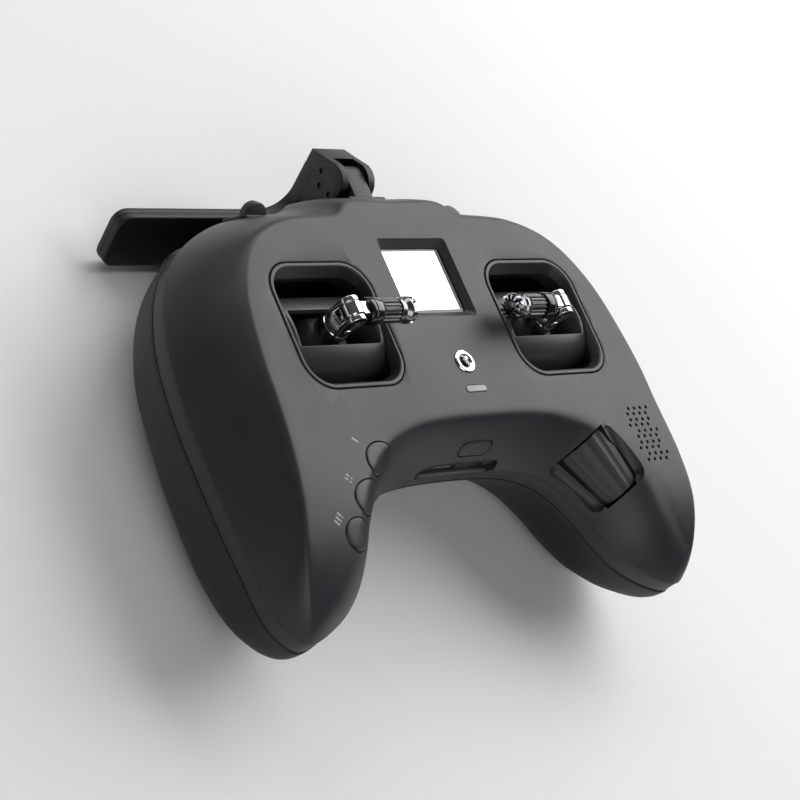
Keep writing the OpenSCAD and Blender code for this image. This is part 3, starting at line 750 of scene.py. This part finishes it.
mask = prism("screen_mask", plate(30.6, 27.8, 2), -2.6, -2.05, high=.1, xf=shift(*SCREEN_AT, 0))
boolean(mask, [prism("c", plate(21.3, 18.3, .4), -5, 0, xf=shift(*SCREEN, 0))])
finish_piece(mask, BLACK, "case", "display_bezel")
window = prism("screen_window", plate(29.6, 26.8, 1), -3.1, -2.65, .1, .1, xf=shift(*SCREEN_AT, 0))
finish_piece(window, LENS, "case", "display_lens")
panel = prism("screen_panel", plate(30.6, 27.8, 1), -5.5, -3.15, .2, .05, xf=shift(*SCREEN_AT, 0))
finish_piece(panel, PANEL, "case", "display_panel")
profile = [(1.6, -5.4), (2.95, -5.4), (2.95, .02), (3.35, .03), (3.4, .12), (3.3, .34), (3.05, .48),
           (2.6, .5), (2.1, .36), (1.75, .05), (1.6, -.4)]
eyelet = lathe("strap_eyelet_ring", profile, shift(*EYELET, 0), n=64, closed=True)
finish_piece(eyelet, CHROME, "case", "strap_eyelet", angle=40)
light = prism("status_light_bar", plate(7.6, 1.8, .85), -3.2, .1, 0, .15, xf=shift(*LIGHT, 0))
finish_piece(light, FROST, "case", "status_light")

for name, b in KEYS:
    cap = flush_cap(f"{name}_key", key_outline(b), on(*b[:3]), 5, .24, .45)
    finish_piece(cap, KEY, f"button_{name}", f"button_{name}")
cap = flush_cap("power_key", plate(12, 4.8, 2.2), on(*POWER), 2.6, .2, .4)
finish_piece(cap, KEY, "power_button", "power_button")

# generic marks: one, two and three bars beside the keys
for count, (x, y) in enumerate(((-50.2, -32), (-56.7, -41.6), (-63.5, -51.1)), 1):
    for i in range(count):
        at = on((x, y, 0), 50, 0) @ shift((i - (count - 1) / 2) * 1.1, 0, 0)
        bar = plate(.5, 2.2, .2, 3)
        rings = [raised(bar, heights(bar, at) + z) for z in (-.1, .015)]
        mark = loft(f"key_mark_{count}_{i + 1}", rings, at)
        finish_piece(mark, MARK, "case")

at = shift(PORT[0], PORT_Y + 1.4, PORT[1]) @ ALONG_Y
port = prism("port_panel_block", plate(30.4, 4.6, 2.1), -1.7, 1.9, .2, .2, xf=at)
boolean(port, [prism("c", plate(9.6, 3.6, 1.7), 0, 20, xf=shift(PORT[0] - 5, PORT_FAR, PORT[1]) @ ALONG_Y),
               lathe("c", [(2.15, 0), (2.15, 20)], shift(PORT[0] + 8, PORT_FAR, PORT[1]) @ ALONG_Y)])
finish_piece(port, DARK, "case", "port_panel")
at = shift(PORT[0], PORT_Y - 1.5, PORT[1] - 2.05) @ ALONG_Y
ledge = prism("port_ledge", plate(27, .9, .4), 0, 1.4, .15, .15, xf=at)
finish_piece(ledge, GREY, "case")

# ---------------------------------------------------------------- roller

FLUTES, PER_FLUTE, DIP, CHAMFER = 22, 6, .26, .25
n_roll = FLUTES * PER_FLUTE
rings = []
for z in np.linspace(-ROLL_LEN / 2, ROLL_LEN / 2, 13):
    base = ROLL_BIG + (ROLL_SMALL - ROLL_BIG) * (z / ROLL_LEN + .5)
    end = max(0, abs(z) - ROLL_LEN / 2 + .5) / .5
    pts = []
    for k in range(n_roll):
        a = 2 * math.pi * k / n_roll
        w = (k % PER_FLUTE) / PER_FLUTE
        dip = DIP * math.sin(math.pi * w) ** 1.2 * (base / ROLL_BIG)
        r = base - dip - CHAMFER * end
        pts.append((r * math.cos(a), r * math.sin(a), z))
    rings.append(pts)
roller = loft("thumb_roller", rings, roller_frame())
boolean(roller, [prism("c", circle(1.25), -20, 20, xf=roller_frame())])
finish_piece(roller, RIDGE, "roller", "roller", angle=24)

# ---------------------------------------------------------------- gimbals and sticks


def bezel_ring(side, s):
    outer = plate(35.2, 35.9, 8.4, 10)
    inner_top = plate(33.2, 33.9, 7.6, 10)
    inner_low, under = plate(31.8, 30.4, 6, 10), plate(33.4, 34, 6.5, 10)
    rings = [level(outer, z) for z in (-8, -.2)]
    rings += [level(inset(outer, .1), .02), level(inset(outer, .3), .1)]
    rings += [level(inset(inner_top, -.25), .1), level(inner_top, -.02),
              level(inset(inner_top, .25), -.45)]
    rings += [level(inner_low, -3.0), level(inset(inner_low, -.1), -3.15)]
    rings += [level(under, z) for z in (-3.4, -8)]
    return loft(f"gimbal_ring_{side}", rings, shift(s * GIMBAL_X, 0, 0), ring_closed=True)


def drum(side, s):
    at = shift(s * GIMBAL_X, 0, DRUM_Z)
    half = [(DRUM_R, 15.1), (DRUM_R - .12, 15.38), (DRUM_R - .4, 15.5), (0, 15.5)]
    profile = [(r, -x) for r, x in half[::-1]] + half
    barrel = lathe(f"slotted_drum_{side}", profile, at @ ALONG_X, n=128)
    slot = plate(28.4, 10.3, .8, 4)
    cutters = [lathe("c", [(12.2, -14.2), (12.2, 14.2)], at @ ALONG_X, n=96),
               loft("c", [level(inset(slot, d), z) for d, z in ((0, 0), (0, 13.3), (-.5, 14.3))], at),
               prism("c", slab(-20, 20, -20, 20), -30, -8, xf=at),
               prism("c", circle(1.45), -20, 20, xf=at @ ALONG_Y)]
    return boolean(barrel, cutters)


def carrier(side, s):
    """The yoke: a disc about the drum's axis, cut flat above and below."""
    at = shift(s * GIMBAL_X, 0, DRUM_Z)
    arc = [(11 * math.cos(a), 11 * math.sin(a)) for a in np.radians(np.arange(114.6, 425.5, 6))]
    outline = np.array([(x, -max(min(z, 10), -6)) for x, z in arc])[::-1]
    return prism(f"stick_yoke_{side}", outline, -4.6, 4.6, .3, .3, xf=at @ ALONG_Y)


def knurl(name, r, z0, z1, teeth, depth, xf, chamfer=.35):
    n = teeth * 4
    rings = []
    for z, d in ((z0, chamfer), (z0 + chamfer, 0), (z1 - chamfer, 0), (z1, chamfer)):
        pts = []
        for k in range(n):
            a = 2 * math.pi * k / n
            rr = r - d - (depth if k % 4 in (2, 3) else 0)
            pts.append((rr * math.cos(a), rr * math.sin(a), z))
        rings.append(pts)
    return loft(name, rings, xf)


TEETH = 12


def stick(side, s):
    up = shift(s * GIMBAL_X, 0, 0)
    at = shift(s * GIMBAL_X, 0, FOLD_Z) @ turn("Y", -s * 90)
    # cup: turned base with two ears
    profile = [(0, DRUM_Z + 10), (4.1, DRUM_Z + 10), (4.1, -.9), (4.05, -.6), (3.9, -.45), (3.9, -.1),
               (4.02, .1), (3.95, .7), (3.7, 1.9), (3.55, 2.3), (3.3, 2.4), (0, 2.4)]
    cup = lathe(f"stick_cup_{side}", profile, up, 64)
    ear = tongue(2.7, -2.0, FOLD_Z, 20)
    ears = [prism("ear", ear, -.7, .7, .2, .2, xf=up @ shift(0, y, 0) @ ALONG_Y) for y in (-2.75, 2.75)]
    boolean(cup, ears, "UNION")
    boolean(cup, [prism("c", slab(-5, 5, -2.05, 2.05), FOLD_Z - 3.3, FOLD_Z + 5, xf=up),
                  prism("c", circle(.82, 32), -5, 5, xf=up @ shift(0, 0, FOLD_Z) @ ALONG_Y)])
    finish_piece(cup, CHROME, f"tilt_{side}", f"stick_cup_{side}")
    profile = [(0, -3.4), (.55, -3.4), (.8, -3.2), (.8, 3.2), (.55, 3.4), (0, 3.4)]
    pin = lathe(f"fold_pin_{side}", profile, up @ shift(0, 0, FOLD_Z) @ ALONG_Y, 32)
    finish_piece(pin, STEEL, f"tilt_{side}", f"fold_pin_{side}")
    # knuckle: eye and waisted neck that the cup holds
    profile = [(0, -1.9), (2.6, -1.9), (2.9, -1.6), (2.9, 1.6), (2.6, 1.9), (0, 1.9)]
    eye = lathe(f"stick_knuckle_{side}", profile, at @ ALONG_Y, 48)
    neck = prism("neck", plate(4.8, 3.8, .5, 4), 0, 4, 0, .3, xf=at)
    stem = lathe("stem", [(0, 3.5), (1.5, 3.5), (1.5, 10.5), (0, 10.5)], at, 32)
    boolean(eye, [neck, stem], "UNION")
    boolean(eye, [prism("c", circle(.85, 32), -5, 5, xf=at @ ALONG_Y)])
    finish_piece(eye, CHROME, f"stick_{side}", f"stick_knuckle_{side}")
    profile = [(1.55, 4.3), (3.3, 4.3), (3.5, 4.42), (3.6, 4.65), (3.6, 5.3), (3.42, 5.5), (3.42, 5.7),
               (3.6, 5.9), (3.6, 7.85), (3.5, 8.1), (3.3, 8.2), (1.55, 8.2)]
    collar = lathe(f"lock_collar_{side}", profile, at, 64, closed=True)
    finish_piece(collar, BLACK, f"collar_{side}", f"stick_collar_{side}")
    barrel = knurl(f"knurled_barrel_{side}", 3.3, 8.6, 15, 18, .38, at)
    boolean(barrel, [lathe("c", [(1.5, 8), (1.5, 10.55), (1.25, 10.56), (1.25, 16)], at, 32)])
    finish_piece(barrel, KNURL, f"stick_{side}", f"stick_barrel_{side}", angle=20)
    # crown: waisted tip whose end is a ring of radial teeth
    profile = [(0, 10.8), (1.0, 10.8), (1.2, 11), (1.2, 15.3), (2.9, 15.3), (3.2, 15.5), (3.25, 16.2),
               (2.75, 16.7), (2.75, 17.3), (3.5, 18.3), (3.6, 18.7), (3.6, 20.2), (3.35, 20.6), (0, 20.6)]
    crown = lathe(f"toothed_crown_{side}", profile, at, 72)
    gap = [(1.5, -.38), (5, -.62), (5, .62), (1.5, .38)]
    teeth = [prism("c", gap, 18.9, 22, xf=at @ turn("Z", 360 / TEETH * i)) for i in range(TEETH)]
    boolean(crown, [joined("c", teeth), lathe("c", [(1.1, 18.2), (1.9, 19.6), (2.4, 22)], at, 32)])
    finish_piece(crown, PLATED, f"crown_{side}", f"stick_crown_{side}")
    # a black plug in the crown's bore: painted shade standing in for the dark hole
    profile = [(0, 18.3), (1.35, 18.3), (1.5, 19.4), (1.2, 19.75), (0, 19.8)]
    bore_shade_plug = lathe(f"crown_bore_shade_{side}", profile, at, 32)
    finish_piece(bore_shade_plug, BLACK, f"crown_{side}")


for side, s in SIDES:
    finish_piece(bezel_ring(side, s), GREY, "case", f"gimbal_bezel_{side}", angle=40)
    finish_piece(drum(side, s), DRUM, f"drum_{side}", f"gimbal_drum_{side}")
    finish_piece(carrier(side, s), DARK, f"tilt_{side}", f"stick_carrier_{side}")
    stick(side, s)

# ---------------------------------------------------------------- shoulder switches

for side, s in SIDES:
    at = toggle_frame(s)
    bush = prism(f"toggle_bush_{side}", plate(11, 9.4, 1.8), -8, .3, 0, .4, xf=at)
    boolean(bush, [prism("c", plate(8.8, 7.8, .8, 4), -7, 5, xf=at)])
    finish_piece(bush, DARK, "case", f"toggle_bush_{side}")
    lever_at = at @ shift(0, 0, -4.4) @ turn("X", -s * TOGGLE_REST)
    paddle = tongue(3.9, 0, 5.2, 24)
    lever = prism(f"toggle_paddle_{side}", paddle, -1.3, 1.3, .35, .35, xf=lever_at @ ALONG_Y)
    half = [(1.6, 3.88), (.8, 3.9), (.8, 5.3), (0, 5.3)]
    axle = lathe("axle", [(r, -x) for r, x in half[::-1]] + half, lever_at @ ALONG_X, 32)
    boolean(lever, [axle], "UNION")
    finish_piece(lever, KEY, f"toggle_{side}", f"toggle_lever_{side}")
    at = shoulder_frame(s)
    profile = [(0, -6.5), (3.4, -6.5), (3.4, -3), (4.9, -2.98), (4.9, .3), (4.75, .65), (4.4, .85), (3.6, .95),
               (2.4, .9), (0, .86)]
    button = lathe(f"shoulder_key_{side}", profile, at, 64)
    finish_piece(button, KEY, f"shoulder_{side}", f"shoulder_button_{side}", angle=40)

# ---------------------------------------------------------------- antenna

base = prism("antenna_hinge_base", plate(14.4, 9.2, .8, 4), 0, 5.1, 0, .4, xf=shift(0, 38, -12.2) @ ALONG_Y)
LUG_R, CHEEK_R = 4.4, 5.6


def about_pivot(r, angles):
    return [(PIVOT[1] + r * math.cos(a), PIVOT[2] + r * math.sin(a)) for a in angles]


lug_side = [(43, -17), (PIVOT[1], -17.4)]
lug_side += about_pivot(LUG_R, np.linspace(-math.pi / 2, math.pi / 2, 24)) + [(43, -8.6)]
SIDE_ON = turn("Z", 90) @ turn("X", 90)   # outline in Y and Z, extruded along X
boolean(base, [prism("lug", lug_side, -3.5, 3.5, .3, .3, xf=SIDE_ON)], "UNION")
boolean(base, [prism("c", circle(1.5, 32), -5, 5, xf=shift(*PIVOT) @ ALONG_X)])
finish_piece(base, ANTENNA, "case", "antenna_base")


def cheek_outline():
    pts = [(62, -13.4), (58.4, -11.2), (53.6, -8.05)]
    a0, a1 = math.atan2(-8.05 + 13, 53.6 - 51), math.pi + .55
    pts += about_pivot(CHEEK_R, np.linspace(a0, a1, 22)[1:])
    return np.array(pts + [(47.2, -19), (51.6, -26.4), (56.4, -27.9)])


CHEEK_X, FILLET_X, FILLET_Y, FILLET_R = 6.4, 14.4, 12.3, 8
neck = [(-CHEEK_X, 4), (CHEEK_X, 4)]
for s, first, last in ((1, 180, 89), (-1, 90, -1)):
    for a in np.radians(np.arange(first, last, -7.5)):
        neck.append((s * FILLET_X + FILLET_R * math.cos(a), FILLET_Y + FILLET_R * math.sin(a)))
arm = prism("antenna_arm_body", cheek_outline(), -CHEEK_X, CHEEK_X, .4, .4, xf=SIDE_ON)
boolean(arm, [prism("neck", neck, -BAR_T, 0, .25, .25, xf=arm_frame())], "UNION")
cut = [prism("c", slab(-3.9, 3.9, 30, 56.8), -22, 8), prism("c", slab(-3.9, 3.9, 44, 58.6), -22, -13),
       prism("c", circle(1.55, 32), -5.6, 5.6, xf=shift(*PIVOT) @ ALONG_X)]
for y, z in ((54.8, -13.4), (51.9, -16.2), (47.8, -14.6)):
    for _, s in SIDES:
        cut.append(prism("c", plate(1.5, 1.5, .2, 3), -.5, .5, xf=shift(s * CHEEK_X, y, z) @ SIDE_ON))
boolean(arm, cut)
finish_piece(arm, ANTENNA, "antenna", "antenna_arm")


def bar_half(name, z0, z1, low, high):
    at = arm_frame() @ shift(0, 20.4 + BAR_W / 2, 0)
    return prism(name, plate(2 * BAR_HALF, BAR_W, 4, 8), z0, z1, low, high, xf=at)


# the inner half takes the darker copy: painted shade on the face towards the case
inner = bar_half("antenna_cover_inner", -BAR_T, -BAR_T / 2 - .05, .5, .12)
finish_piece(inner, ANTENNA_SHADED, "antenna", "antenna_half_front")
outer = bar_half("antenna_cover_outer", -BAR_T / 2, 0, .12, .6)
finish_piece(outer, ANTENNA, "antenna", "antenna_half_rear")

# ---------------------------------------------------------------- CAD nodes that stay as they are

STAY = {"case_screws": STEEL, "door_screws": STEEL, "roller_shaft": STEEL, "antenna_pin": STEEL,
        "main_board": BOARD, "button_board": BOARD, "rf_module": TIN, "usb_socket": TIN, "audio_jack": TIN,
        "gimbal_housing_left": DARK, "gimbal_housing_right": DARK, "roller_bracket": DARK,
        "battery_pack": PACK, "speaker_driver": CONE, "antenna_element": COPPER}
for name, material in STAY.items():
    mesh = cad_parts[name].data
    mesh.materials.clear()
    mesh.materials.append(material)

# ---------------------------------------------------------------- floor, light, camera

bpy.ops.mesh.primitive_grid_add(x_subdivisions=8, y_subdivisions=8, size=6, location=(0, 0, -0.0004))
floor = bpy.context.object
floor.name = "floor"
m, nt, bsdf = new_material("pale_floor")
coords = nt.nodes.new("ShaderNodeTexCoord")
broad = noise(nt, coords, 3, 3)
pale = two_tone(nt, broad.outputs["Fac"], (0.93, 0.93, 0.93), (0.96, 0.96, 0.96))
nt.links.new(pale, bsdf.inputs["Base Color"])
bsdf.inputs["Roughness"].default_value = 0.7
floor.data.materials.append(m)

SKY_LOW, SKY_HIGH = 0.62, 1.2
world = bpy.data.worlds.new("studio")
bpy.context.scene.world = world
world.use_nodes = True
wt = world.node_tree
sky, split = wt.nodes.new("ShaderNodeTexCoord"), wt.nodes.new("ShaderNodeSeparateXYZ")
wt.links.new(sky.outputs["Generated"], split.inputs["Vector"])
brighter = spread(wt, split.outputs["Z"], SKY_LOW, SKY_HIGH, 0.0, 0.8)
wt.links.new(brighter, wt.nodes["Background"].inputs["Strength"])
bpy.context.scene.view_settings.view_transform = "Standard"


def area_light(name, place, target, size, power):
    light = bpy.data.lights.new(name, "AREA")
    light.shape = "RECTANGLE"
    light.size, light.size_y = size
    light.energy = power
    ob = bpy.data.objects.new(name, light)
    bpy.context.scene.collection.objects.link(ob)
    d = Vector(place) - Vector(target)
    ob.matrix_world = Matrix.Translation(place) @ d.to_track_quat("Z", "Y").to_matrix().to_4x4()
    return ob


TARGET = (0, 0, 0.03)
area_light("sheen_light", (0.87, 0.37, 0.78), TARGET, (1.5, 1.1), 17)
area_light("back_light", (-0.1, 1.0, 0.7), TARGET, (1.2, 0.6), 4)
area_light("fill_light", (-0.5, -0.9, 0.7), TARGET, (1.2, 0.8), 5)

FOCAL, PICTURE, SENSOR = 2460.46, 800, 36   # focal length and width in pixels, sensor width in mm
# fitted to the photo: the camera's right, up and back directions, and its place in mm
CAMERA_ROWS = ((.69242, -.37912, .61387), (.04937, .87372, .48391), (-.71981, -.30476, .6237))
CAMERA_AT = (-474.994, -210.946 + REST_Y, 385.734 + REST_Z)
camera = bpy.data.cameras.new("camera")
camera.lens = FOCAL * SENSOR / PICTURE
camera.sensor_width = SENSOR
camera.clip_start = 0.01
cam = bpy.data.objects.new("camera", camera)
bpy.context.scene.collection.objects.link(cam)
turned = Matrix(CAMERA_ROWS).transposed().to_4x4()
cam.matrix_world = Matrix.Translation(np.array(CAMERA_AT) * MM) @ turned
bpy.context.scene.camera = cam

bpy.context.view_layer.update()
